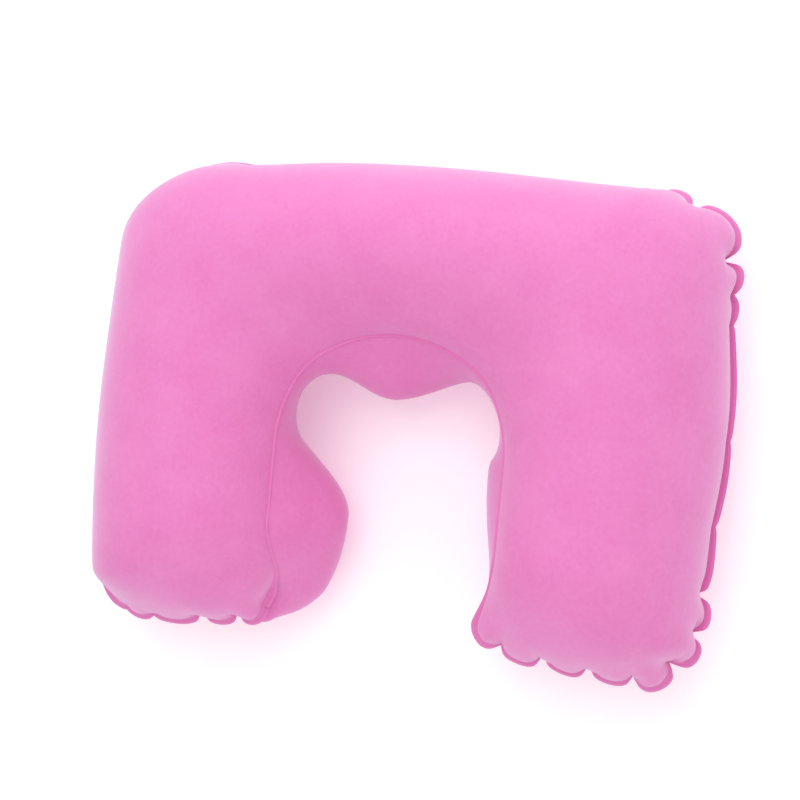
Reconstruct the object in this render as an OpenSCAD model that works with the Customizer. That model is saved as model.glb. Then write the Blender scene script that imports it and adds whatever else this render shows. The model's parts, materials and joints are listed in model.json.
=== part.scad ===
// Inflatable U-shaped neck pillow, lying on its back panel.
// X runs across the two arms, Y towards the closed end of the U, Z out of the front panel.
// Two flocked film panels are welded round their edge. A one-piece stem valve sits in the back
// panel, on the outer side of the left arm, with its stem pushed in and its stopper closed.

/* [Outline] */
// Half of the width, from the middle to the outer sides, without their bow
half_width = 163; // [155:1:171]
// How far an outer side bows out along an arm
side_bow = 3; // [0:0.5:6]
// Distance from the origin up to the closed end, without its bow
closed_end = 125; // [119:1:131]
// How far the closed end bows out
top_bow = 5; // [0:0.5:7]
// Distance from the origin down to the weld line at the arms' ends
arm_end = 127; // [121:1:133]
// Radius of the outer corners of the closed end
corner_r = 44; // [38:1:56]
// Half of the neck opening, from the middle to the inner wall's middle
neck_r = 57; // [53:1:61]
// Height on the Y axis of the neck arch's centre
neck_centre = -21; // [-26:1:-16]

/* [Section] */
// Half of the inflated thickness
half_thick = 56; // [50:1:60]
// Depth pressed flat where the pillow rests
rest_flat = 2.5; // [1.5:0.5:4]
// Angle of the weld line round an arm's outer side, 0 is level, negative is towards the back
outer_weld_angle = -14; // [-20:1:-5]
// Angle of the weld line round the closed end's middle
top_weld_angle = -28; // [-34:1:-14]
// Angle of the inner weld line round the section
inner_weld_angle = 155; // [148:1:160]
// Length over which an arm rounds off to its end
end_round = 40; // [36:1:46]
// Radius of an arm's outer corner in plan
outer_end_r = 34; // [20:1:40]
// Radius of an arm's inner corner in plan
inner_end_r = 18; // [12:1:28]
// How much shorter an arm is on its inner side
end_slant = 10; // [0:1:12]
// How far an arm's inner corner reaches into the opening
inner_ear = 4; // [0:1:8]
// Length over which the inner weld line comes down to an arm's end
weld_fall = 64; // [56:1:80]

/* [Inner wall] */
// Depth of the back panel's bulge at the top of the neck arch
arch_bulge = 32; // [20:1:34]
// Depth of its bulge on the side of each arm
side_bulge = 22; // [10:1:26]
// Depth of the two creases between the bulges
crease_out = 8; // [0:1:12]
// Angle from the top of the arch to each crease
crease_angle = 67; // [60:1:74]
// Place of a side bulge's peak, as a share of the way from its crease to the arm's end
side_peak = 0.42; // [0.3:0.02:0.54]
// How far the wall draws back towards an arm's end
end_recess = 18; // [8:1:22]

/* [Film and weld] */
// Thickness of one flocked film
film = 0.5; // [0.4:0.1:0.8]
// Width of the weld flange on the outside
flange_out = 6; // [4:0.5:7]
// Width of the weld flange round the neck opening
flange_in = 3; // [2:0.5:4]

/* [Valve] */
// Place of the valve's centre along the left arm
valve_y = -54; // [-60:1:-48]
// Angle of the valve below level, round the section
valve_angle = 42; // [40:1:46]
// Depth of the flat seat under the round of the panel
seat_depth = 2.5; // [2:0.5:3.5]
// Radius of the hole in the back panel
panel_hole_r = 10.4; // [10.2:0.1:11]
// Radius of the valve's welded flange
valve_flange_r = 14.5; // [13:0.5:15]
// Inner radius of the valve's welded flange
valve_mouth_r = 9.6; // [9:0.1:10]
// Thickness of the valve's welded flange
valve_flange_t = 0.9; // [0.7:0.1:1.2]
// Outer radius of the stem
stem_r = 4.5; // [4.2:0.1:4.8]
// Radius of the stem's bore
bore_r = 3; // [2.6:0.1:3.2]
// Height of the stem's mouth above the panel, negative is sunk
stem_top = -1.2; // [-1.6:0.1:-0.8]
// Length of the stem
stem_len = 11; // [10:0.5:12]
// Height of the diaphragm's join to the stem
dish_low = -6.6; // [-7:0.1:-6]
// Wall of the diaphragm
dish_wall = 0.7; // [0.6:0.1:0.9]
// Radial gap between the stopper and the bore
plug_gap = 0.05; // [0.03:0.01:0.1]
// Radius of the stopper's head
head_r = 5.2; // [4.9:0.1:5.4]
// Thickness of the stopper's head
head_t = 1.9; // [1.6:0.1:2.2]
// Length of the stopper's shank
shank_len = 6; // [5:0.5:7]
// Thickness of the check flap
flap_t = 0.6; // [0.5:0.1:0.8]

/* [Hidden] */

// how finely the surfaces are divided
cap_rows = 7;     // rows round an arm's end
leg_rows = 8;     // rows along an arm
arch_rows = 24;   // rows from an arm to the middle of the closed end
across = 22;      // steps from the outer weld line to the inner one

mid_z = half_thick - rest_flat;          // height of the tube's middle
leg_len = arm_end + neck_centre;         // straight part of an arm
arch_len = PI / 2 * neck_r;              // wall line from the top of the arch to an arm
crease_run = arch_len * crease_angle / 90;
side_len = arch_len + leg_len - crease_run;
end_weld_drop = 4;                       // the arms' end weld lies this far below the middle
slant_fade = 64;                         // the slant of the arms' ends fades out over this length
section_fade = 1.6;                      // how soon the section is round, by the end's length
wall_bump_span = 112;                    // the bulges fade out this far round from the inner weld
wall_bump_power = 1.2;                   // how narrow the bulges are round the section
// the way from the arch's bulge to its crease, as weights of the 2nd, 4th and 6th powers that add to 1
arch_curve = [0.9, 1.2, -1.1];

function smooth(x) = let (c = min(1, max(0, x))) c * c * (3 - 2 * c);
function mix(a, b, k) = a + (b - a) * k;

// outer side in plan, by the distance run from the top of an arm's straight part
side_run = closed_end - corner_r - neck_centre;
corner_run = PI / 2 * corner_r;
outer_run = side_run + corner_run + half_width - corner_r;
bow_end = leg_len + side_run + corner_run / 2;
function bow(along) =
    along < bow_end ? side_bow * pow(sin(180 * along / bow_end), 2)
                    : top_bow * pow(sin(90 * (along - bow_end) / (leg_len + outer_run - bow_end)), 2);
function outer_point(run) =
    let (a = 180 - 90 * min(1, max(0, (run - side_run) / corner_run)),
         on_side = min(0, run - side_run), on_top = max(0, run - side_run - corner_run))
    [-half_width + corner_r + corner_r * cos(a) + on_top, closed_end - corner_r + corner_r * sin(a) + on_side]
        + bow(run + leg_len) * [cos(a), sin(a)];

// how far the wall swells into the opening, by the wall line's distance from the top of the arch
function lobe(run) =
    let (t = run / crease_run, s = (run - crease_run) / side_len, past = (s - side_peak) / (1 - side_peak))
    run < crease_run ? mix(arch_bulge, -crease_out, arch_curve * [pow(t, 2), pow(t, 4), pow(t, 6)]) :
    s < side_peak ? mix(-crease_out, side_bulge, (1 - cos(180 * s / side_peak)) / 2) :
    mix(side_bulge, -end_recess, pow(past, 2));

// a row: [wall point, outer point, distance from the arm's end, lobe]
function leg_row(d) =
    [[-neck_r, d - arm_end], outer_point(d - leg_len), d, lobe(arch_len + leg_len - d)];
function arch_row(k) =
    let (a = 180 - 90 * k)
    [[neck_r * cos(a), neck_centre + neck_r * sin(a)], outer_point(outer_run * k),
     leg_len, lobe(arch_len * (1 - k))];
function flip(row) = [[-row[0][0], row[0][1]], [-row[1][0], row[1][1]], row[2], row[3]];

left_rows = concat(
    [for (k = [0:cap_rows - 1]) leg_row(end_round * (1 - cos(90 * k / cap_rows)))],
    [for (k = [0:leg_rows - 1]) leg_row(mix(end_round, leg_len, k / leg_rows))],
    [for (k = [0:arch_rows - 1]) arch_row(k / arch_rows)]);
rows = concat(left_rows, [arch_row(1)], [for (k = [len(left_rows) - 1:-1:0]) flip(left_rows[k])]);
last_row = len(rows) - 1;

// [across, along] shift that rounds a square corner to radius r, at these distances from its sides
function round_corner(from_side, from_end, r) =
    let (a = max(0, 1 - from_side / r), b = max(0, 1 - from_end / r))
    r * [a * (1 - sqrt(1 - b * b / 2)), b * (1 - sqrt(1 - a * a / 2))];

// the back panel is pressed flat round the valve
valve_dir = [-cos(valve_angle), 0, -sin(valve_angle)];
valve_side = -outer_point(valve_y - neck_centre)[0];
valve_arm_r = (valve_side - neck_r) / 2;
valve_round = [valve_arm_r - valve_side - valve_arm_r * cos(valve_angle), valve_y,
               mid_z - half_thick * sin(valve_angle)];
valve_at = valve_round - valve_dir * seat_depth;
seat_full_r = 22;                        // the film is flat this far round the valve
seat_fade_r = 30;                        // and back on the round of the arm from here
function seated(p, t, inward) =
    let (rel = p - valve_at, height = rel * valve_dir, off = norm(rel - height * valve_dir),
         k = t > 0 ? smooth((seat_fade_r - off) / (seat_fade_r - seat_full_r)) : 0)
    p[0] < 0 && off < seat_fade_r && height > -half_thick
        ? p - valve_dir * k * (height - inward) : p;

// point of a panel's inside face; side is 1 for the front panel and -1 for the back panel
function film_point(row, t, side) =
    let (wall = row[0], across_vec = row[1] - row[0], width = norm(across_vec),
         dir = across_vec / width, radius = width / 2, x = min(1, row[2] / end_round),
         closing = sqrt(1 - (1 - x) * (1 - x)),
         fall = smooth(row[2] / weld_fall),
         outer_angle = mix(outer_weld_angle, top_weld_angle, dir[1] * dir[1]),
         sweep = side > 0 ? inner_weld_angle - outer_angle : inner_weld_angle - 360 - outer_angle,
         angle = outer_angle + sweep * t,
         past_inner = side > 0 ? 0 : (angle - inner_weld_angle + 360) / wall_bump_span,
         bump = past_inner > 0 && past_inner < 1 ? pow(sin(180 * past_inner), wall_bump_power) : 0,
         weld_out = radius + radius * cos(outer_angle),
         weld_in = radius + radius * cos(inner_weld_angle),
         flat_u = mix(weld_out, mix(-inner_ear, weld_in, fall), t),
         round_u = radius + radius * cos(angle) - row[3] * bump,
         full_u = mix(weld_out, weld_in, t),
         u = flat_u + smooth(x * section_fade) * (round_u - full_u),
         weld_z = half_thick * mix(sin(outer_angle), sin(inner_weld_angle), t),
         flat_z = mid_z + mix(-end_weld_drop, weld_z, fall),
         round_z = half_thick * sin(angle),
         z = flat_z + closing * (round_z - weld_z),
         plan = width + inner_ear,
         outer_corner = round_corner(t * plan, row[2], outer_end_r),
         inner_corner = round_corner((1 - t) * plan, row[2], inner_end_r),
         back = outer_corner[1] + inner_corner[1] + end_slant * t * (1 - smooth(row[2] / slant_fade)),
         xy = wall + dir * (u - outer_corner[0] + inner_corner[0]) + [0, back],
         p = [xy[0], xy[1], z],
         q = side > 0 ? p : seated(p, t, -film))
    [q[0], q[1], max(film, q[2])];

// the weld line's loop: outer side, right end, inner side, left end
loop = concat([for (i = [0:last_row - 1]) [i, 0]], [for (j = [0:across - 1]) [last_row, j]],
              [for (i = [last_row:-1:1]) [i, across]], [for (j = [across:-1:1]) [0, j]]);
loop_n = len(loop);

// one panel: its inside face, its outside face one film further out, and its half of the flange
module panel(side) {
    grid = [for (row = rows) [for (j = [0:across]) film_point(row, j / across, side)]];
    edge = [for (c = loop) grid[c[0]][c[1]]];
    // level direction away from the panel, at each point of the weld line
    away = [for (k = [0:loop_n - 1])
        let (d = edge[(k + 1) % loop_n] - edge[(k + loop_n - 1) % loop_n], n = norm([d[0], d[1]]))
        [-d[1] / n, d[0] / n, 0]];
    up = [0, 0, side * film];
    function on_edge(i, j) = i == 0 || i == last_row || j == 0 || j == across;
    function edge_index(i, j) =
        j == 0 && i < last_row ? i :
        i == last_row && j < across ? last_row + j :
        j == across && i > 0 ? 2 * last_row + across - i : 2 * last_row + 2 * across - j;
    function outward(i, j) =
        let (n = cross(grid[i + 1][j] - grid[i - 1][j], grid[i][j + 1] - grid[i][j - 1]))
        -side * n / norm(n);
    outside = [for (i = [0:last_row]) [for (j = [0:across])
        on_edge(i, j) ? grid[i][j] + up + film * away[edge_index(i, j)]
                      : grid[i][j] + film * outward(i, j)]];
    flange = [for (k = [0:loop_n - 1])
        let (inner = loop[k][1] == across ? smooth(rows[loop[k][0]][2] / end_round) : 0)
        edge[k] + away[k] * mix(flange_out, flange_in, inner)];
    cols = across + 1;
    count = (last_row + 1) * cols;
    points = concat([for (r = grid) for (p = r) p], [for (r = outside) for (p = r) p],
                    flange, [for (p = flange) p + up]);
    cells = [for (i = [0:last_row - 1]) for (j = [0:across - 1])
        let (a = i * cols + j, b = a + cols, c = b + 1, d = a + 1)
        each (i + j) % 2 == 0 ? [[a, b, c], [a, c, d]] : [[a, b, d], [b, c, d]]];
    at = [for (c = loop) c[0] * cols + c[1]];
    skirt = [for (k = [0:loop_n - 1])
        let (n = (k + 1) % loop_n, a = at[k], b = at[n], c = 2 * count + n, d = 2 * count + k,
             ao = a + count, bo = b + count, co = c + loop_n, do = d + loop_n)
        each [[a, c, d], [a, b, c], [ao, co, bo], [ao, do, co], [d, co, do], [d, c, co]]];
    inside_faces = [for (f = cells) [f[0], f[2], f[1]]];
    outside_faces = [for (f = cells) [f[0] + count, f[1] + count, f[2] + count]];
    all_faces = concat(inside_faces, outside_faces, skirt);
    polyhedron(points, side > 0 ? all_faces : [for (f = all_faces) [f[0], f[2], f[1]]],
               convexity = 8);
}

// the valve's parts are drawn upright, with the panel's outer face at z = 0
module at_valve() {
    translate(valve_at) rotate([0, -90 - valve_angle, 0]) children();
}
fine = 96;
hole_cut = 6;      // height of the cut through the film
stem_low = stem_top - stem_len;
flange_top = -film;
flange_low = flange_top - valve_flange_t;

module front_panel() {
    color("hotpink") panel(1);
}

module back_panel() {
    color("hotpink") difference() {
        panel(-1);
        at_valve() cylinder(h = hole_cut, r = panel_hole_r, center = true, $fn = fine);
    }
}

module valve_flange() {
    color("pink") at_valve() rotate_extrude($fn = fine)
        translate([valve_mouth_r, flange_low]) square([valve_flange_r - valve_mouth_r, valve_flange_t]);
}

module valve_diaphragm() {
    color("pink") at_valve() rotate_extrude($fn = fine)
        polygon([[valve_mouth_r, flange_top], [valve_mouth_r, flange_low], [stem_r, dish_low - dish_wall],
                 [stem_r, dish_low]]);
}

module valve_stem() {
    color("pink") at_valve() rotate_extrude($fn = fine)
        translate([bore_r, stem_low]) square([stem_r - bore_r, stem_len]);
}

touch_gap = 0.02;  // parts that touch are drawn this far apart
flap_inset = 0.6;  // the flap ends this far inside the stem's outer wall
flap_r = stem_r - flap_inset;
module check_flap() {
    color("lightpink") at_valve()
        translate([0, 0, stem_low - touch_gap - flap_t]) cylinder(h = flap_t, r = flap_r, $fn = fine);
}

head_low = stem_top + touch_gap;
head_top = head_low + head_t;
shank_low = head_low - shank_len;
shank_r = bore_r - plug_gap;
head_edge = 0.6;   // chamfer round the head
tip_edge = 0.6;    // radial taper of the shank's tip
tip_len = 1.2;     // length of that taper
module stopper() {
    color("pink") at_valve() rotate_extrude($fn = fine)
        polygon([[0, shank_low], [shank_r - tip_edge, shank_low], [shank_r, shank_low + tip_len],
                 [shank_r, head_low], [head_r, head_low], [head_r, head_top - head_edge],
                 [head_r - head_edge, head_top], [0, head_top]]);
}

tether_w = 3;          // width of the strap
tether_t = 0.8;        // thickness of the strap
tether_bend = 1;       // radius of the middle of its bend
tether_start = 3.6;    // the strap starts under the head, this far from the axis
tether_reach = 6.3;    // its bend's centre is this far from the axis
strap_rise = 0.5;      // height of its upper layer's middle above the head's underside
bend_fine = 48;        // sides of the bend's circle
cut_gap = 0.05;        // room round the head and above the stem
head_cut = 4;          // height of the room for the head
module strap_bend() {
    difference() {
        circle(tether_bend + tether_t / 2, $fn = bend_fine);
        circle(tether_bend - tether_t / 2, $fn = bend_fine);
        translate([-2 * tether_bend, -2 * tether_bend]) square([2 * tether_bend, 4 * tether_bend]);
    }
}
module strap_side() {
    for (z = [-tether_bend, tether_bend])
        translate([tether_start, z - tether_t / 2]) square([tether_reach - tether_start, tether_t]);
    translate([tether_reach, 0]) strap_bend();
}
module stopper_tether() {
    color("pink") at_valve() difference() {
        translate([0, tether_w / 2, head_low + strap_rise - tether_bend]) rotate([90, 0, 0])
            linear_extrude(tether_w) strap_side();
        translate([0, 0, head_low - cut_gap])
            cylinder(h = head_cut, r = head_r + cut_gap, $fn = fine);
        translate([0, 0, stem_low]) cylinder(h = stem_len + 2 * cut_gap, r = stem_r, $fn = fine);
    }
}

front_panel();
back_panel();
valve_flange();
valve_diaphragm();
valve_stem();
check_flap();
stopper();
stopper_tether();
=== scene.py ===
"""Inflated U-shaped neck pillow of flocked vinyl film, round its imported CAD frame.

The two panels take the CAD surface as their starting shape. Where a flat sheet has length to spare
once it is blown up, the weld line is gathered: it runs in lobes between notches, a crease runs from
each notch into the film, and the weld flange follows the lobes. The panels' inner walls and a few
swellings are uneven, as on the pillow in the photo. The valve is remade with rounded edges.
Lengths are millimetres while the film is worked out, and metres in Blender.
"""
import json
import math

import bpy
import numpy as np
from mathutils import Matrix, Vector


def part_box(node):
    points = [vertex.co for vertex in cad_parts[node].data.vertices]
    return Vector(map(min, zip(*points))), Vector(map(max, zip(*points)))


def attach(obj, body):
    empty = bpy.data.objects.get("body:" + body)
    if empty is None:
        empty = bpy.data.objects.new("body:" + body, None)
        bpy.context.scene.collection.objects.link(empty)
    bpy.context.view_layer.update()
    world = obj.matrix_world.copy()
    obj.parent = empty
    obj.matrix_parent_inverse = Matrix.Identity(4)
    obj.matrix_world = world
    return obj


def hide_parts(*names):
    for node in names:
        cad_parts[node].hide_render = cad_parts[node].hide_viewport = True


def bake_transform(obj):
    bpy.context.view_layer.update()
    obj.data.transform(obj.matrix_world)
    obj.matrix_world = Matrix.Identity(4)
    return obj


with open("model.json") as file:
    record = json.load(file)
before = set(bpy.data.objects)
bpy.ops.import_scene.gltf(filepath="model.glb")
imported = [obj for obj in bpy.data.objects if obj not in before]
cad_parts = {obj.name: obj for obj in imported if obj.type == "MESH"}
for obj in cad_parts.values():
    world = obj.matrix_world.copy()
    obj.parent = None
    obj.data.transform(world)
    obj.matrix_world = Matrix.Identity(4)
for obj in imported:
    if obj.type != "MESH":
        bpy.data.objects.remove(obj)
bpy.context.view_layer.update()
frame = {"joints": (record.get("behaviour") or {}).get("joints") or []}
MM = 0.001

# ---------------------------------------------------------------- dimensions
# as in the CAD model, but for the flange, the walls and the corners' lift, which follow the photo
FILM = 0.5                            # one flocked film
FLANGE_OUT, FLANGE_IN = 5.2, 1.4      # width of the weld flange outside, and what shows round the neck
HALF_WIDTH, SIDE_BOW = 163.0, 3.0
CLOSED_END, TOP_BOW = 125.0, 5.0
ARM_END, CORNER_R = 127.0, 44.0
NECK_R, NECK_CENTRE = 57.0, -21.0
HALF_THICK, REST_FLAT = 56.0, 2.5
OUTER_ANGLE, TOP_ANGLE, INNER_ANGLE = -14.0, -28.0, 155.0
END_ROUND, SLANT_FADE, SECTION_FADE = 40.0, 64.0, 1.6
OUTER_END_R, INNER_END_R, END_SLANT, INNER_EAR = 34.0, 18.0, 10.0, 4.0
WELD_FALL, END_WELD_DROP = 64.0, 4.0
ARCH_BULGE, WALL_BUMP_SPAN, WALL_BUMP_POWER = 33.5, 112.0, 1.2
ARCH_SPREAD = 0.25                    # how much the arch's bulge spreads sideways, as a share
ARCH_OFF_MIDDLE = 8.0                 # how far towards the left arm the arch's bulge peaks
SEAT_FULL_R, SEAT_FADE_R = 20.0, 30.0
VALVE_FLANGE_T, VALVE_FLANGE_R, MOUTH_R, PANEL_HOLE_R = 0.9, 14.5, 9.6, 10.4
STEM_R, BORE_R, STEM_TOP, STEM_LEN = 4.5, 3.0, -1.2, 11.0
DISH_LOW, DISH_WALL = -6.6, 0.7
HEAD_R, HEAD_T, SHANK_LEN, PLUG_GAP, TOUCH_GAP = 5.2, 1.9, 6.0, 0.05, 0.02
FLAP_T = 0.6
TETHER_W, TETHER_T, TETHER_BEND, TETHER_REACH = 3.0, 0.8, 1.0, 6.3

# the two halves' walls of the real pillow swell unevenly: the arm's bulge, its crease's depth and
# angle, share of the way to the bulge's peak, and how far the wall draws back at the arm's end
LEFT_WALL = (32.0, 11.0, 68.0, 0.48, 15.0)
RIGHT_WALL = (11.5, 5.0, 64.0, 0.24, 28.0)

# the outer weld line rises towards the front at the closed end's corners: degrees, and reach
LEFT_LIFT, RIGHT_LIFT, LIFT_REACH = 9.0, 13.0, 46.0

# the valve's place and direction come from the frame
valve_axis = np.array(next(j["axis"] for j in frame["joints"] if j["name"] == "stem_pull_out"), float)
flange_low, flange_high = (np.array(c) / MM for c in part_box("valve_flange"))
valve_at = (flange_low + flange_high) / 2 + valve_axis * (FILM + VALVE_FLANGE_T / 2)

# ---------------------------------------------------------------- the film's surface
LEG_LEN = ARM_END + NECK_CENTRE
ARCH_LEN = math.pi / 2 * NECK_R
SIDE_RUN = CLOSED_END - CORNER_R - NECK_CENTRE
CORNER_RUN = math.pi / 2 * CORNER_R
OUTER_RUN = SIDE_RUN + CORNER_RUN + HALF_WIDTH - CORNER_R


def smooth(x):
    x = np.clip(x, 0, 1)
    return x * x * (3 - 2 * x)


def mix(a, b, k):
    return a + (b - a) * k


def mirrored(half):
    """The rows of the left half, and their mirror image after the middle one."""
    return np.vstack([half, (half * [-1, 1])[-2::-1]])


def lobe(run, wall, other_wall):
    """How far an arm's inner wall swells, by the distance run from the top of the neck arch."""
    bulge, crease, crease_angle, peak, recess = wall
    crease_run = ARCH_LEN * crease_angle / 90
    s = (run - crease_run) / (ARCH_LEN + LEG_LEN - crease_run)
    past = (s - peak) / (1 - peak)
    rise = (1 - np.cos(math.pi * np.clip(s / peak, 0, 1))) / 2
    on_arm = np.where(s < peak, mix(-crease, bulge, rise), mix(bulge, -recess, past ** 2))
    # the arch's bulge, from its peak down to the crease on either side
    middle = ARCH_OFF_MIDDLE if wall is LEFT_WALL else -ARCH_OFF_MIDDLE
    other_crease, other_run = other_wall[1], ARCH_LEN * other_wall[2] / 90
    this_side = run > middle
    t = np.where(this_side, (run - middle) / (crease_run - middle), (middle - run) / (other_run + middle))
    fall = (1 - np.cos(math.pi * np.clip(t, 0, 1))) / 2
    on_arch = mix(ARCH_BULGE, -np.where(this_side, crease, other_crease), fall)
    return np.where(s < 0, on_arch, on_arm)


def outer_points(run):
    """The outer side in plan, by the distance run from the top of an arm's straight part."""
    along, end, total = run + LEG_LEN, LEG_LEN + SIDE_RUN + CORNER_RUN / 2, LEG_LEN + OUTER_RUN
    side_bow = SIDE_BOW * np.sin(math.pi * along / end) ** 2
    top_bow = TOP_BOW * np.sin(math.pi / 2 * (along - end) / (total - end)) ** 2
    bow = np.where(along < end, side_bow, top_bow)
    a = math.pi - np.clip((run - SIDE_RUN) / CORNER_RUN, 0, 1) * math.pi / 2
    x = -HALF_WIDTH + CORNER_R + (CORNER_R + bow) * np.cos(a) + np.maximum(0, run - SIDE_RUN - CORNER_RUN)
    y = CLOSED_END - CORNER_R + (CORNER_R + bow) * np.sin(a) + np.minimum(0, run - SIDE_RUN)
    return np.c_[x, y]


def film_rows(caps, legs, arch):
    """The film's rows from arm to arm.

    Gives wall points, outer points, distances from the arm's end, lobes and the weld's lift.
    """
    cap = END_ROUND * (1 - np.cos(np.linspace(0, math.pi / 2, caps, endpoint=False)))
    d = np.r_[cap, np.linspace(END_ROUND, LEG_LEN, legs, endpoint=False)]
    k = np.linspace(0, 1, arch + 1)
    turn = math.pi * (1 - k / 2)
    inner = np.vstack([np.c_[-NECK_R + 0 * d, d - ARM_END],
                       np.c_[NECK_R * np.cos(turn), NECK_CENTRE + NECK_R * np.sin(turn)]])
    run = np.r_[d - LEG_LEN, OUTER_RUN * k]
    outer = outer_points(run)
    lift = np.exp(-((run - SIDE_RUN - CORNER_RUN / 2) / LIFT_REACH) ** 2)
    from_end = np.r_[d, LEG_LEN + 0 * k]
    from_top = np.r_[ARCH_LEN + LEG_LEN - d, ARCH_LEN * (1 - k)]
    left, right = lobe(from_top, LEFT_WALL, RIGHT_WALL), lobe(from_top, RIGHT_WALL, LEFT_WALL)
    return (mirrored(inner), mirrored(outer), np.r_[from_end, from_end[-2::-1]],
            np.r_[left, right[-2::-1]], np.r_[LEFT_LIFT * lift, RIGHT_LIFT * lift[-2::-1]])


def round_corner(from_side, from_end, r):
    """Shifts across and along that round a square corner to radius r."""
    a, b = np.clip(1 - from_side / r, 0, None), np.clip(1 - from_end / r, 0, None)
    return r * a * (1 - np.sqrt(1 - b * b / 2)), r * b * (1 - np.sqrt(1 - a * a / 2))


def press_valve_seat(p):
    """The back panel is flat round the valve, on the face that its flange is welded to."""
    rel = p - valve_at
    height = rel @ valve_axis
    off = np.linalg.norm(rel - height[..., None] * valve_axis, axis=-1)
    k = smooth((SEAT_FADE_R - off) / (SEAT_FADE_R - SEAT_FULL_R)) * (height > -HALF_THICK) * (p[..., 0] < 0)
    k[:, 0] = 0     # the outer weld line stays
    p = p - valve_axis * (k * (height + FILM))[..., None]
    p[..., 2] = np.maximum(p[..., 2], FILM)     # nothing reaches below the surface it rests on
    return p


def film_surface(rows, t, side):
    """A panel's inside face as a grid: rows run along the U, columns from the outer weld to the inner."""
    wall, outer, from_end, swell, lift = rows
    vec = outer - wall
    width = np.linalg.norm(vec, axis=1)[:, None]
    direction = vec / width
    radius = width / 2
    from_end = from_end[:, None]
    x = np.clip(from_end / END_ROUND, 0, 1)
    closing, fall = np.sqrt(1 - (1 - x) ** 2), smooth(from_end / WELD_FALL)
    outer_angle = mix(OUTER_ANGLE, TOP_ANGLE, direction[:, 1:] ** 2) + lift[:, None]
    angle = outer_angle + (INNER_ANGLE - outer_angle - (0 if side > 0 else 360)) * t
    past = (angle - INNER_ANGLE + 360) / WALL_BUMP_SPAN if side < 0 else 0 * angle
    bump = np.abs(np.sin(math.pi * np.clip(past, 0, 1))) ** WALL_BUMP_POWER
    turn, turn_out, turn_in = np.radians(angle), np.radians(outer_angle), math.radians(INNER_ANGLE)
    weld_out, weld_in = radius * (1 + np.cos(turn_out)), radius * (1 + math.cos(turn_in))
    flat_u = mix(weld_out, mix(-INNER_EAR, weld_in, fall), t)
    is_round = smooth(x * SECTION_FADE)
    u = flat_u + is_round * (radius * (1 + np.cos(turn)) - mix(weld_out, weld_in, t))
    weld_z = HALF_THICK * mix(np.sin(turn_out), math.sin(turn_in), t)
    z = HALF_THICK - REST_FLAT + mix(-END_WELD_DROP, weld_z, fall)
    z = z + closing * (HALF_THICK * np.sin(turn) - weld_z)
    plan = width + INNER_EAR
    outer_across, outer_along = round_corner(t * plan, from_end, OUTER_END_R)
    inner_across, inner_along = round_corner((1 - t) * plan, from_end, INNER_END_R)
    back = outer_along + inner_along + END_SLANT * t * (1 - smooth(from_end / SLANT_FADE))
    u = u - outer_across + inner_across
    out = (wall - (0, NECK_CENTRE)) * (1, 0) * ARCH_SPREAD + np.maximum(wall - (0, NECK_CENTRE), 0) * (0, 1)
    out /= np.linalg.norm(out, axis=1)[:, None]
    swollen = swell[:, None] * bump * is_round
    p = np.dstack([wall[:, None, 0] + direction[:, None, 0] * u - out[:, :1] * swollen,
                   wall[:, None, 1] + direction[:, None, 1] * u - out[:, 1:] * swollen + back, z])
    return p if side > 0 else press_valve_seat(p)


class Film:
    """The two panels as grids of inside points that share the weld line, and the loop of that line.

    points holds the front grid's points and then the back's own; at numbers them for either grid.
    """

    def __init__(self, caps, legs, arch, across):
        self.rows = film_rows(caps, legs, arch)
        t = np.linspace(0, 1, across + 1)[None]
        t = t * (COLUMN_CROWDING + (1 - COLUMN_CROWDING) * t)
        front, back = film_surface(self.rows, t, 1), film_surface(self.rows, t, -1)
        ns, nt = front.shape[:2]
        weld = np.zeros((ns, nt), bool)
        weld[[0, -1]] = weld[:, [0, -1]] = True
        back[weld] = front[weld]
        front_at = np.arange(ns * nt).reshape(ns, nt)
        back_at = front_at.copy()
        back_at[~weld] = ns * nt + np.arange((~weld).sum())
        self.at, self.grids = (front_at, back_at), (front, back)
        self.points = np.vstack([front.reshape(-1, 3), back[~weld]])
        # the loop: outer side, right end, inner side, left end
        i = np.r_[np.arange(ns - 1), np.full(nt - 1, ns - 1), np.arange(ns - 1, 0, -1), np.zeros(nt - 1, int)]
        j = np.r_[np.zeros(ns - 1, int), np.arange(nt - 1), np.full(ns - 1, nt - 1), np.arange(nt - 1, 0, -1)]
        self.loop = front_at[i, j]
        self.inner = np.where(j == nt - 1, smooth(self.rows[2][i] / END_ROUND), 0)
        # the outer part of the loop, from the left arm's inner corner to the right arm's
        self.outer = np.r_[front_at[0, :0:-1], front_at[:, 0], front_at[-1, 1:]]

    def outward(self, grid, side):
        """Each grid point's direction out of the air."""
        n = np.cross(np.gradient(grid, axis=0), np.gradient(grid, axis=1))
        return -side * n / np.maximum(np.linalg.norm(n, axis=2), 1e-9)[..., None]


def cells(at):
    return np.stack([at[:-1, :-1], at[1:, :-1], at[1:, 1:], at[:-1, 1:]], -1).reshape(-1, 4)


# ---------------------------------------------------------------- the gathered weld
COLUMN_CROWDING = 0.7     # the columns' spacing next to the outer weld, as a share of the mean
BAND = 46.0               # the film is gathered this far from the outer weld
ARC_POWER = 0.7           # how round the lobes are
OFFSET_REACH = 12.0       # a lobe fades out over this distance from the weld
OFFSET_SPREAD = 1.2       # and over this much more for each millimetre of its height
PUFF, PUFF_AT = 1.6, 9.0  # the film swells between creases, most at this distance from the weld
FULL_LOBE = 6.0           # height of a lobe that swells the film fully
DEEP_NOTCH, NOTCH_W = 3.0, 3.2             # depth of a notch that folds the flange fully, half width
CREASE_W, CREASE_WIDENS = 1.5, 0.09        # half width of a crease, its growth with the distance
CREASE_START, CREASE_BOTTOM = 3.0, 0.1     # a crease sets in over this distance, its bottom's roundness
WELD_WAVE, WAVE_COUNT, WAVE_SEED = 1.2, 40, 5   # the weld line wanders this far up and down, in waves
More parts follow.
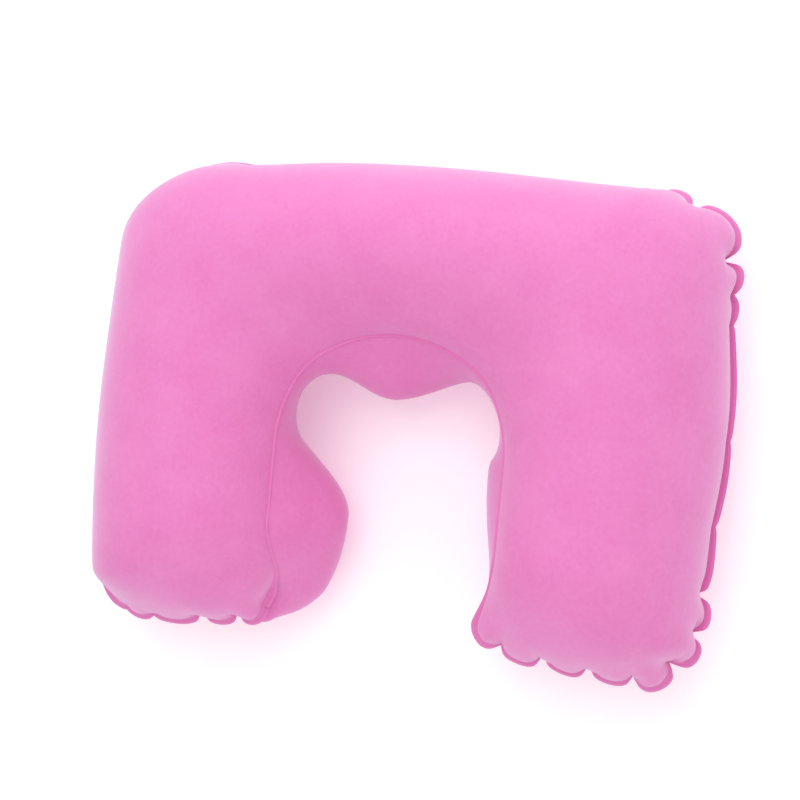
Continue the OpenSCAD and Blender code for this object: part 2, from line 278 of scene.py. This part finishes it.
WELD_HOLDS = 14.0         # a swelling of the back film alone starts over this distance from the weld
LEAST_SHARE = 0.01        # and leaves out points that it would move by less than this share
AT_A_TIME = 4000          # points whose distances from the weld are worked out in one go
EVENED_OVER = 7           # points on each side over which a line's direction is evened out
FLANGE_RINGS = ((0.3, 0.0), (0.57, 0.0), (0.67, 0.35), (0.77, 0.0), (1.0, 0.0))   # share of the width, bead
FLANGE_LEAN = 0.4         # how far the flange fans out round a lobe
FLANGE_DROOP = 0.9        # how far it hangs at the arms' ends and at the closed end
FOLDED_IN = 0.75          # share of its width that is folded away at a notch

# notches of the weld line on each half: place along the weld from the closed end's middle, depth,
# the crease's length and depth, its lean, then the next lobe's height and its peak's share
RIGHT_NOTCHES = np.array([
    (100.0, 0.0,  1, 0.0,  0.0, 1.2, 0.55),
    (123.5, 1.6, 14, 1.6,  0.2, 2.2, 0.45),
    (143.0, 3.0, 20, 3.0,  0.3, 6.0, 0.58),
    (176.0, 4.6, 27, 5.0, -0.2, 2.4, 0.45),
    (193.0, 1.2,  9, 1.2,  0.0, 0.9, 0.50),
    (208.0, 0.8,  8, 0.8,  0.0, 0.5, 0.50),
    (268.0, 0.6, 10, 0.8,  0.2, 0.4, 0.50),
    (312.0, 0.8,  9, 0.8, -0.2, 0.8, 0.60),
    (348.0, 2.6, 18, 3.6, -0.3, 3.2, 0.55),
    (368.5, 3.4, 21, 4.6, -0.4, 3.8, 0.52),
    (387.5, 3.8, 22, 4.8, -0.4, 4.4, 0.58),
    (409.0, 2.8, 17, 3.8, -0.5, 2.2, 0.45),
    (432.5, 3.2, 15, 3.8, -0.5, 3.0, 0.36),
    (457.0, 3.2, 14, 3.6, -0.5, 3.0, 0.36),
    (480.0, 2.4, 11, 2.8, -0.3, 5.0, 0.55),
    (504.0, 0.0,  1, 0.0,  0.0, 0.0, 0.50),
])
LEFT_NOTCHES = np.array([
    ( 66.0, 0.0,  1, 0.0,  0.0, 2.8, 0.50),
    ( 88.0, 2.4, 14, 1.8,  0.2, 4.6, 0.55),
    (150.0, 2.0, 18, 2.4, -0.2, 1.2, 0.50),
    (172.0, 1.2, 12, 1.4,  0.0, 0.6, 0.50),
    (192.0, 0.8,  9, 1.0,  0.0, 0.4, 0.50),
    (240.0, 0.5,  9, 0.8,  0.0, 0.4, 0.50),
    (318.0, 0.6,  9, 0.8,  0.0, 0.4, 0.50),
    (366.0, 0.2, 12, 0.4,  0.0, 1.0, 0.60),
    (397.0, 0.5, 10, 0.8,  0.4, 1.0, 0.50),
    (412.0, 1.4, 18, 3.6,  0.7, 1.9, 0.55),
    (441.0, 3.4, 12, 3.6, -0.3, 1.4, 0.50),
    (463.0, 3.2, 15, 3.6, -0.5, 1.7, 0.50),
    (486.0, 0.0,  1, 0.0,  0.0, 0.0, 0.50),
])

# places where the film leaves its even shape: whether the weld moves too, centre, reach, shift
SWELLINGS = (
    (True, (-142.0, 122.0, 50.0), 34.0, (5.5, -5.5, 0.0)),
    (True, (154.0, 98.0, 46.0), 30.0, (0.5, 1.0, 0.0)),
    (True, (-157.0, -114.0, 50.0), 17.0, (-1.0, -1.6, 0.0)),
    (True, (-172.0, -30.0, 50.0), 50.0, (-1.4, 0.0, 0.0)),
    (True, (-83.0, 128.0, 50.0), 22.0, (0.0, -2.2, 0.0)),
    (True, (168.0, 10.0, 50.0), 45.0, (3.5, 0.0, 0.0)),
    (True, (-48.0, -112.0, 50.0), 20.0, (-13.5, 2.0, 0.0)),
    (False, (-60.0, -110.0, 26.0), 25.0, (5.5, -12.0, 0.0)),
    (False, (60.0, -95.0, 30.0), 26.0, (4.5, 0.5, 0.0)),
)


def nearest_on(line, along, points):
    """For each point: the nearest place along the line, its distance, and the line point's number."""
    best = np.empty(len(points), int)
    size = (line ** 2).sum(1)
    for k in range(0, len(points), AT_A_TIME):
        some = slice(k, k + AT_A_TIME)
        best[some] = (size - 2 * points[some] @ line.T).argmin(1)
    place, distance = along[best], np.linalg.norm(points - line[best], axis=1)
    for step in (-1, 1):
        other = np.clip(best + step, 0, len(line) - 1)
        edge = line[other] - line[best]
        share = np.clip(((points - line[best]) * edge).sum(1) / np.maximum((edge ** 2).sum(1), 1e-9), 0, 1)
        d = np.linalg.norm(points - line[best] - edge * share[:, None], axis=1)
        closer = d < distance
        place = np.where(closer, mix(along[best], along[other], share), place)
        distance = np.where(closer, d, distance)
    return place, distance, best


def lobes(along, notches):
    """The line's offset outward, the lobe's fullness and turn, and the notch's nearness, along the weld."""
    at, depth, _, _, _, height, peak = notches.T
    k = np.clip(np.searchsorted(at, along, "right") - 1, 0, len(at) - 2)
    v = np.clip((along - at[k]) / (at[k + 1] - at[k]), 0, 1)
    u = np.where(v < peak[k], v / (2 * peak[k]), 0.5 + (v - peak[k]) / (2 * (1 - peak[k])))
    full = np.sin(math.pi * u) ** ARC_POWER
    inside = (along > at[0]) & (along < at[-1])
    offset = mix(-mix(depth[k], depth[k + 1], v), height[k], full) * inside
    turn = -np.cos(math.pi * u) * inside
    gap = np.minimum(np.abs(along - at[k]), np.abs(at[k + 1] - along))
    strength = np.minimum(1, np.where(v < 0.5, depth[k], depth[k + 1]) / DEEP_NOTCH)
    return offset, full * height[k] / FULL_LOBE * inside, turn, np.exp(-(gap / NOTCH_W) ** 2) * strength


def creased(along, distance, notches):
    """How deep the creases press into the film."""
    total = np.zeros(len(along))
    for at, _, length, depth, lean, _, _ in notches:
        if depth:
            s = along - at - lean * distance
            across = np.exp(-np.sqrt(s * s + CREASE_BOTTOM) / (CREASE_W + CREASE_WIDENS * distance))
            total += depth * across * smooth(distance / CREASE_START) * (1 - smooth(distance / length))
    return total


def both_halves(function, place, *others):
    """A function of the place along the weld, for the right half and the left one."""
    right, left = function(place, *others, RIGHT_NOTCHES), function(-place, *others, LEFT_NOTCHES)
    if isinstance(right, tuple):
        return tuple(np.where(place > 0, r, l) for r, l in zip(right, left))
    return np.where(place > 0, right, left)


def level_outward(line, closed):
    """Level directions along a line, and away from the air at its right."""
    n, pad = len(line), EVENED_OVER
    if closed:
        line = np.vstack([line[-pad:], line, line[:pad]])
    turn = np.gradient(line, axis=0) * (1, 1, 0)
    kernel = np.hanning(2 * pad + 1)
    if not closed:
        turn = np.pad(turn, ((pad, pad), (0, 0)), "edge")
    turn = np.stack([np.convolve(c, kernel, "valid") for c in turn.T], 1)
    turn /= np.linalg.norm(turn, axis=1)[:, None]
    return turn[:n], np.c_[-turn[:, 1], turn[:, 0], 0 * turn[:, 0]][:n]


def swellings(film):
    """How far the film's points move where it leaves its even shape, off the valve's seat."""
    base, moves = film.points, np.zeros_like(film.points)
    on_back = np.zeros(len(base), bool)
    on_back[film.at[1]] = True
    from_valve = np.linalg.norm(base - valve_at, axis=1)
    off_seat = smooth((from_valve - SEAT_FULL_R) / (SEAT_FADE_R - SEAT_FULL_R))
    for moves_weld, centre, size, shift in SWELLINGS:
        share = np.exp(-(np.linalg.norm(base - centre, axis=1) / size) ** 2) * off_seat
        if not moves_weld:
            some = np.flatnonzero(on_back & (share > LEAST_SHARE))
            from_weld = nearest_on(base[film.loop], 0 * film.loop, base[some])[1]
            share = np.bincount(some, share[some] * smooth(from_weld / WELD_HOLDS), len(base))
        moves += share[:, None] * shift
    return moves


def gathered(film):
    """The film's points with the weld line gathered, and the rings of points across the flange."""
    base, points = film.points, film.points.copy()
    line = base[film.outer]
    run = np.r_[0, np.cumsum(np.linalg.norm(np.diff(line, axis=0), axis=1))]
    along = run - run[-1] / 2
    away = level_outward(line, False)[1]
    place, distance, nearest = nearest_on(line, along, base)
    band = distance < BAND
    offset, full, turn, notch = both_halves(lobes, place)
    reach = OFFSET_REACH + OFFSET_SPREAD * np.clip(offset, 0, None)
    fade = np.exp(-(distance / reach) ** 2) * band
    waves = np.random.default_rng(WAVE_SEED).uniform(-1, 1, WAVE_COUNT)
    wave = WELD_WAVE * np.interp(place, np.linspace(along[0], along[-1], WAVE_COUNT), waves)
    out_of_air = np.zeros_like(points)
    for at, grid, side in zip(film.at, film.grids, (1, -1)):
        out_of_air[at[1:-1, 1:-1]] = film.outward(grid, side)[1:-1, 1:-1]
    rise = distance / PUFF_AT * np.exp(1 - distance / PUFF_AT) * (1 - smooth(distance / BAND))
    dents = both_halves(creased, place, distance) * band
    points += away[nearest] * (offset * fade)[:, None] + (0, 0, 1) * (wave * fade)[:, None]
    points += out_of_air * (PUFF * full * rise - dents)[:, None]
    points += swellings(film)
    points[:, 2] = np.maximum(points[:, 2], FILM)
    # the flange: wide round the outside, narrow round the neck, folded in at the notches
    loop = film.loop
    tangent, outward = level_outward(base[loop], True)
    outer = 1 - film.inner
    lean = FLANGE_LEAN * turn[loop] * np.sign(place[loop]) * (1 - notch[loop]) * outer
    droop = FLANGE_DROOP * np.abs(outward[:, 1]) * outer
    width = mix(FLANGE_OUT, FLANGE_IN, film.inner) * (1 - FOLDED_IN * notch[loop] * outer)
    towards = outward + tangent * lean[:, None] - (0, 0, 1) * droop[:, None]
    towards *= (width / np.linalg.norm(towards, axis=1))[:, None]
    return points, [(points[loop] + towards * share, bead * outer) for share, bead in FLANGE_RINGS]


# ---------------------------------------------------------------- materials


def rgb(r, g, b):
    """A display colour from 0 to 255 as a linear one."""
    return tuple(((c / 255 + 0.055) / 1.055) ** 2.4 for c in (r, g, b)) + (1,)


class Nodes:
    """Short calls for building a node tree."""

    def __init__(self, name):
        self.material = bpy.data.materials.new(name)
        self.material.use_nodes = True
        self.tree = self.material.node_tree
        self.shader = self.tree.nodes["Principled BSDF"]

    def add(self, kind, **values):
        node = self.tree.nodes.new(kind)
        for key, value in values.items():
            if hasattr(node, key):
                setattr(node, key, value)
            else:
                node.inputs[key.replace("_", " ")].default_value = value
        return node

    def link(self, a, b):
        self.tree.links.new(a, b)


def flocked_film(name, light, dark, pressed_and_shaded_colour):
    """Short velvety flock on vinyl: soft sheen, fine nap, faint brushed patches, and a darker pressed colour
    along the weld that is partly painted shade on the flange.
    """
    n = Nodes(name)
    place = n.add("ShaderNodeTexCoord").outputs["Object"]
    nap = n.add("ShaderNodeTexNoise", Scale=2600.0, Detail=3.0, Roughness=0.7)
    brush = n.add("ShaderNodeTexNoise", Scale=38.0, Detail=4.0, Roughness=0.6)
    fine = n.add("ShaderNodeTexNoise", Scale=420.0, Detail=2.0, Roughness=0.5)
    for tex in (nap, brush, fine):
        n.link(place, tex.inputs["Vector"])
    patches = n.add("ShaderNodeMix", data_type="RGBA")
    patches.inputs["A"].default_value = dark
    patches.inputs["B"].default_value = light
    ramp = n.add("ShaderNodeMapRange")
    ramp.inputs["From Min"].default_value = 0.3
    ramp.inputs["From Max"].default_value = 0.7
    n.link(brush.outputs["Fac"], ramp.inputs["Value"])
    n.link(ramp.outputs["Result"], patches.inputs["Factor"])
    grain = n.add("ShaderNodeMix", data_type="RGBA", blend_type="MULTIPLY")
    grain.inputs["Factor"].default_value = 0.22
    n.link(patches.outputs["Result"], grain.inputs["A"])
    n.link(nap.outputs["Color"], grain.inputs["B"])
    speck = n.add("ShaderNodeMix", data_type="RGBA", blend_type="OVERLAY")
    speck.inputs["Factor"].default_value = 0.12
    n.link(patches.outputs["Result"], speck.inputs["A"])
    n.link(fine.outputs["Fac"], speck.inputs["B"])
    # along the weld the flock is pressed and shinier; its darker colour there is partly painted shade on the
    # flange
    weld = n.add("ShaderNodeAttribute", attribute_name="weld")
    pressed_and_shaded = n.add("ShaderNodeMix", data_type="RGBA")
    pressed_and_shaded.inputs["B"].default_value = pressed_and_shaded_colour
    n.link(speck.outputs["Result"], pressed_and_shaded.inputs["A"])
    n.link(weld.outputs["Fac"], pressed_and_shaded.inputs["Factor"])
    n.link(pressed_and_shaded.outputs["Result"], n.shader.inputs["Base Color"])
    rough = n.add("ShaderNodeMapRange")
    rough.inputs["To Min"].default_value = 0.92
    rough.inputs["To Max"].default_value = 0.55
    n.link(weld.outputs["Fac"], rough.inputs["Value"])
    n.link(rough.outputs["Result"], n.shader.inputs["Roughness"])
    bump = n.add("ShaderNodeBump", Strength=0.35, Distance=0.00025)
    n.link(nap.outputs["Fac"], bump.inputs["Height"])
    n.link(bump.outputs["Normal"], n.shader.inputs["Normal"])
    n.shader.inputs["Sheen Weight"].default_value = 0.8
    n.shader.inputs["Sheen Roughness"].default_value = 0.45
    n.shader.inputs["Sheen Tint"].default_value = rgb(226, 226, 242)
    n.shader.inputs["Specular IOR Level"].default_value = 0.2
    return n.material


def moulded_vinyl(name, colour):
    """Soft clear-tinted vinyl, a little milky, with faint flow marks."""
    n = Nodes(name)
    place = n.add("ShaderNodeTexCoord").outputs["Object"]
    cloud = n.add("ShaderNodeTexNoise", Scale=260.0, Detail=3.0, Roughness=0.5)
    marks = n.add("ShaderNodeTexNoise", Scale=1500.0, Detail=2.0, Roughness=0.5)
    for tex in (cloud, marks):
        n.link(place, tex.inputs["Vector"])
    tint = n.add("ShaderNodeMix", data_type="RGBA")
    deeper = 0.88
    tint.inputs["A"].default_value = tuple(c * deeper for c in colour[:3]) + (1,)
    tint.inputs["B"].default_value = colour
    n.link(cloud.outputs["Fac"], tint.inputs["Factor"])
    n.link(tint.outputs["Result"], n.shader.inputs["Base Color"])
    rough = n.add("ShaderNodeMapRange")
    rough.inputs["To Min"].default_value = 0.26
    rough.inputs["To Max"].default_value = 0.42
    n.link(cloud.outputs["Fac"], rough.inputs["Value"])
    n.link(rough.outputs["Result"], n.shader.inputs["Roughness"])
    bump = n.add("ShaderNodeBump", Strength=0.15, Distance=0.0002)
    n.link(marks.outputs["Fac"], bump.inputs["Height"])
    n.link(bump.outputs["Normal"], n.shader.inputs["Normal"])
    n.shader.inputs["Subsurface Weight"].default_value = 0.25
    n.shader.inputs["Subsurface Scale"].default_value = 0.002
    n.shader.inputs["Coat Weight"].default_value = 0.2
    return n.material


# the last colour is the pressed flock along the weld, darker partly as painted shade on the flange
FLOCK = flocked_film("flocked_film", rgb(238, 137, 200), rgb(234, 128, 194), rgb(230, 124, 188))
VINYL = moulded_vinyl("moulded_vinyl", rgb(240, 160, 208))


# ---------------------------------------------------------------- building pieces


def piece(name, points, faces, material, body, slot, *nodes):
    """A mesh piece from points in metres that rides on a body and stands for CAD nodes."""
    mesh = bpy.data.meshes.new(name)
    mesh.from_pydata([tuple(map(float, p)) for p in points], [], [tuple(map(int, f)) for f in faces])
    mesh.materials.append(material)
    obj = bpy.data.objects.new(name, mesh)
    bpy.context.scene.collection.objects.link(obj)
    for polygon in mesh.polygons:
        polygon.use_smooth = True
    if body:
        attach(obj, body)
    if nodes:
        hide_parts(*nodes)
    return obj


def applied(obj, kind, **settings):
    """Adds a modifier and makes its result the object's mesh."""
    modifier = obj.modifiers.new(kind.lower(), kind)
    for key, value in settings.items():
        setattr(modifier, key, value)
    graph = bpy.context.evaluated_depsgraph_get()
    mesh = bpy.data.meshes.new_from_object(obj.evaluated_get(graph))
    obj.modifiers.clear()
    old, obj.data = obj.data, mesh
    bpy.data.meshes.remove(old)
    return obj


VALVE_X = np.array([-math.sin(math.acos(-valve_axis[0])), 0, -valve_axis[0]])
VALVE_Y = np.array([0.0, 1.0, 0.0])


def at_valve(points):
    """Points in the valve's own frame, in millimetres, as points of the row frame in metres."""
    p = np.asarray(points, float)
    return (valve_at + p[:, :1] * VALVE_X + p[:, 1:2] * VALVE_Y + p[:, 2:] * valve_axis) * MM


def lathe(profile, sides=72, closed=True):
    """Points and faces of a profile of (radius, height) turned round the valve's axis."""
    a = np.linspace(0, 2 * math.pi, sides, endpoint=False)
    rings, points = [], []
    for r, z in np.asarray(profile, float):
        count = 1 if r == 0 else sides
        rings.append(len(points) + np.arange(sides) % count)
        points += [(r * math.cos(b), r * math.sin(b), z) for b in a[:count]]
    pairs = zip(rings, rings[1:] + rings[:1] if closed else rings[1:])
    faces = []
    for low, high in pairs:
        for face in np.c_[low, np.roll(low, -1), np.roll(high, -1), high].tolist():
            faces.append(tuple(dict.fromkeys(face)))
    return points, faces


def rounded(corners, r=0.3, steps=4, closed=True):
    """A profile with its corners rounded by radius r; an open one keeps its two ends."""
    c = np.asarray(corners, float)
    out = []
    for k in range(len(c)):
        if not closed and k in (0, len(c) - 1):
            out.append(c[k])
            continue
        p, q, s = c[k - 1], c[k], c[(k + 1) % len(c)]
        to_p, to_s = np.linalg.norm(p - q), np.linalg.norm(s - q)
        cut = min(r, to_p * 0.45, to_s * 0.45)
        a, b = q + (p - q) / to_p * cut, q + (s - q) / to_s * cut
        out += [(1 - u) ** 2 * a + 2 * u * (1 - u) * q + u * u * b for u in np.linspace(0, 1, steps + 1)]
    return np.array(out)


# ---------------------------------------------------------------- the two panels
FINE_GRID, QUICK_GRID = (44, 44, 190, 110), (16, 14, 64, 44)
PRESSED_AND_SHADED_LINE, PRESSED_AND_SHADED_FLANGE, PRESSED_AND_SHADED_BEAD, PRESSED_AND_SHADED_RIM = 0.5, 0.45, 1.5, -0.35   # how flat the flock is; its darker colour is partly painted shade on the flange
HOLE_SIDES, CUT_HALF = 96, 4.0        # the valve's hole, and the half height of what cuts it
SHARP = math.radians(60)


def panel_piece(name, node, points, rings, number):
    """One panel with its layer of the flange, as a film with an inside and an outside face."""
    at, side = film.at[number], (1, -1)[number]
    used = np.unique(at)
    new = np.zeros(len(points), int)
    new[used] = np.arange(len(used))
    count = len(film.loop)
    loops = [new[film.loop]] + [len(used) + k * count + np.arange(count) for k in range(len(rings))]
    places = [points[used]] + [ring + (0, 0, side) * bead[:, None] for ring, bead in rings]
    flange = np.vstack([np.c_[a, b, np.roll(b, -1), np.roll(a, -1)] for a, b in zip(loops, loops[1:])])
    quads = np.vstack([cells(new[at]), flange])[:, ::-side]
    obj = piece(name, np.vstack(places) * MM, quads, FLOCK, None, "flocked_film", node)
    # the weld attribute: pressed, shinier flock whose darker colour is partly painted shade on the flange
    weld = np.zeros(len(obj.data.vertices), np.float32)
    weld[loops[0]] = PRESSED_AND_SHADED_LINE
    for ring, (share, bead) in zip(loops[1:], FLANGE_RINGS):
        weld[ring] = PRESSED_AND_SHADED_FLANGE + PRESSED_AND_SHADED_BEAD * bead + PRESSED_AND_SHADED_RIM * (share == 1)
    obj.data.attributes.new("weld", "FLOAT", "POINT").data.foreach_set("value", weld)
    applied(obj, "SOLIDIFY", thickness=FILM * MM, offset=1.0)
    obj.data.set_sharp_from_angle(angle=SHARP)
    return obj


def cut_valve_hole(panel):
    """The round hole that the valve's mouth shows through."""
    plug = [(0, -CUT_HALF), (PANEL_HOLE_R, -CUT_HALF), (PANEL_HOLE_R, CUT_HALF), (0, CUT_HALF)]
    points, faces = lathe(plug, HOLE_SIDES, closed=False)
    cutter = piece("hole_cutter", at_valve(points), faces, FLOCK, None, None)
    applied(panel, "BOOLEAN", operation="DIFFERENCE", object=cutter, solver="MANIFOLD")
    mesh = cutter.data
    bpy.data.objects.remove(cutter)
    bpy.data.meshes.remove(mesh)
    panel.data.set_sharp_from_angle(angle=SHARP)


film = Film(*FINE_GRID)
places, rings = gathered(film)
front = panel_piece("front_panel_film", "front_panel", places, rings, 0)
back = panel_piece("back_panel_film", "back_panel", places, rings, 1)
cut_valve_hole(back)
for panel in (front, back):
    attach(panel, "pillow")


# ---------------------------------------------------------------- the valve
STEM_LOW = STEM_TOP - STEM_LEN
HEAD_LOW = STEM_TOP + TOUCH_GAP
SHANK_R, TIP_EDGE, TIP_LEN = BORE_R - PLUG_GAP, 0.6, 1.2   # the shank tapers at its tip
FLAP_R = STEM_R - 0.6
STRAP_Z = HEAD_LOW + 0.5              # height of the strap's middle on the head
STRAP_SUNK = 0.1                      # how far the strap's ends sink into the head and the stem
DISH_EVEN = 0.35                      # share of the diaphragm's depth that falls evenly
DIMPLE_R, DIMPLE_EDGE, DIMPLE = 0.62 * HEAD_R, 0.45 * HEAD_R, 0.5   # the hollow in the head's top


def turned(name, profile, body, node, r=0.3, closed=True):
    """A moulded piece turned round the valve's axis, with rounded edges."""
    points, faces = lathe(rounded(profile, r, closed=closed), closed=closed)
    return piece(name, at_valve(points), faces, VINYL, body, "valve_vinyl", node)


def diaphragm():
    """The soft cone that carries the stem, a little dished so that it can turn inside out."""
    s = np.linspace(0, 1, 18)
    top = np.c_[mix(MOUTH_R, STEM_R, s), mix(-FILM, DISH_LOW, DISH_EVEN * s + (1 - DISH_EVEN) * smooth(s))]
    wall = top - (0, DISH_WALL)
    points, faces = lathe(np.vstack([top, wall[::-1]]))
    obj = piece("soft_diaphragm", at_valve(points), faces, VINYL, None, "valve_vinyl", "valve_diaphragm")
    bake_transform(obj)


def tether():
    """The strap that keeps the stopper on the stem, bent double beside the head."""
    a = np.linspace(math.pi / 2, -math.pi / 2, 15)
    bend = np.c_[TETHER_REACH + TETHER_BEND * np.cos(a), STRAP_Z - TETHER_BEND + TETHER_BEND * np.sin(a)]
    on_head, on_stem = (HEAD_R - STRAP_SUNK, STRAP_Z), (STEM_R - STRAP_SUNK, STRAP_Z - 2 * TETHER_BEND)
    path = np.vstack([on_head, bend, on_stem])
    out = np.gradient(path, axis=0)
    out = np.c_[-out[:, 1], out[:, 0]] / np.linalg.norm(out, axis=1)[:, None]
    w, t = TETHER_W / 2, TETHER_T / 2
    section = rounded([(-w, -t), (w, -t), (w, t), (-w, t)], 0.2)
    n, m = len(path), len(section)
    points = [(p[0] + o[0] * h, v, p[1] + o[1] * h) for p, o in zip(path, out) for v, h in section]
    faces = [(i * m + j, i * m + (j + 1) % m, (i + 1) * m + (j + 1) % m, (i + 1) * m + j)
             for i in range(n - 1) for j in range(m)]
    faces += [tuple(range(m))[::-1], tuple(range((n - 1) * m, n * m))]
    obj = piece("tether_strap", at_valve(points), faces, VINYL, None, "valve_vinyl", "stopper_tether")
    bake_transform(obj)


def valve():
    flange_bottom, flap_top, head_top = -FILM - VALVE_FLANGE_T, STEM_LOW - TOUCH_GAP, HEAD_LOW + HEAD_T
    shank_low = HEAD_LOW - SHANK_LEN
    turned("welded_flange", [(MOUTH_R, flange_bottom), (VALVE_FLANGE_R, flange_bottom),
                             (VALVE_FLANGE_R, -FILM), (MOUTH_R, -FILM)], "pillow", "valve_flange")
    diaphragm()
    turned("stem_tube", [(BORE_R, STEM_LOW), (STEM_R, STEM_LOW), (STEM_R, STEM_TOP), (BORE_R, STEM_TOP)],
           "stem", "valve_stem", 0.4)
    turned("flap_disc", [(0, flap_top), (FLAP_R, flap_top), (FLAP_R, flap_top - FLAP_T),
                         (0, flap_top - FLAP_T)], "flap", "check_flap", 0.25, closed=False)
    turned("stopper_plug", [(0, shank_low), (SHANK_R - TIP_EDGE, shank_low), (SHANK_R, shank_low + TIP_LEN),
                            (SHANK_R, HEAD_LOW), (HEAD_R, HEAD_LOW), (HEAD_R, head_top),
                            (DIMPLE_R, head_top), (DIMPLE_EDGE, head_top - 0.9 * DIMPLE),
                            (0, head_top - DIMPLE)], "stopper_body", "stopper", 0.55, closed=False)
    tether()


valve()


# ---------------------------------------------------------------- floor, light and camera


def floor():
    mesh = bpy.data.meshes.new("floor")
    half = 3.0
    corners = [(-half, -half, 0), (half, -half, 0), (half, half, 0), (-half, half, 0)]
    mesh.from_pydata(corners, [], [(0, 1, 2, 3)])
    n = Nodes("pale_floor")
    n.shader.inputs["Base Color"].default_value = (0.97, 0.97, 0.97, 1)
    n.shader.inputs["Roughness"].default_value = 0.8
    n.shader.inputs["Emission Color"].default_value = (1, 1, 1, 1)
    n.shader.inputs["Emission Strength"].default_value = 0.2
    mesh.materials.append(n.material)
    obj = bpy.data.objects.new("floor", mesh)
    bpy.context.scene.collection.objects.link(obj)


def area_light(name, place, target, size, power, colour=(1, 1, 1)):
    data = bpy.data.lights.new(name, "AREA")
    data.shape, data.size, data.energy, data.color = "DISK", size, power, colour
    obj = bpy.data.objects.new(name, data)
    obj.location = place
    obj.rotation_mode = "QUATERNION"
    obj.rotation_quaternion = (Vector(target) - Vector(place)).to_track_quat("-Z", "Y")
    bpy.context.scene.collection.objects.link(obj)


def studio():
    world = bpy.data.worlds.new("studio")
    world.use_nodes = True
    world.node_tree.nodes["Background"].inputs["Color"].default_value = (1, 1, 1, 1)
    world.node_tree.nodes["Background"].inputs["Strength"].default_value = 0.7
    bpy.context.scene.world = world
    bpy.context.scene.view_settings.view_transform = "Standard"
    area_light("key", (0.0, 0.6, 1.5), (0, 0, 0.05), 1.1, 6.3)
    area_light("top", (-0.05, 1.4, 0.6), (0, 0.1, 0.05), 1.0, 6.0, (0.86, 1.0, 0.98))
    area_light("fill", (0.0, -1.0, 1.2), (0, 0, 0.05), 1.2, 2.6)


CAMERA_YAW, CAMERA_PITCH, CAMERA_ROLL = 13.9, -0.7, 5.45
CAMERA_DISTANCE, CAMERA_LENS = 0.872, 73.6
CAMERA_LEFT, CAMERA_UP = 0.0017, 0.0066   # the aim lies this far from the pillow's middle


def camera():
    data = bpy.data.cameras.new("camera")
    data.sensor_width, data.lens = 36, CAMERA_LENS
    obj = bpy.data.objects.new("camera", data)
    yaw, pitch, roll = (math.radians(a) for a in (CAMERA_YAW, CAMERA_PITCH, CAMERA_ROLL))
    back = Vector((math.sin(yaw) * math.cos(pitch), -math.sin(pitch), math.cos(yaw) * math.cos(pitch)))
    right = Vector((0, 1, 0)).cross(back).normalized()
    up = back.cross(right)
    x = right * math.cos(roll) + up * math.sin(roll)
    y = back.cross(x)
    target = Vector((0, 0, 0.05)) - x * CAMERA_LEFT + y * CAMERA_UP
    place = target + back * CAMERA_DISTANCE
    obj.matrix_world = Matrix(((x.x, y.x, back.x, place.x), (x.y, y.y, back.y, place.y),
                               (x.z, y.z, back.z, place.z), (0, 0, 0, 1)))
    bpy.context.scene.collection.objects.link(obj)
    bpy.context.scene.camera = obj


floor()
studio()
camera()
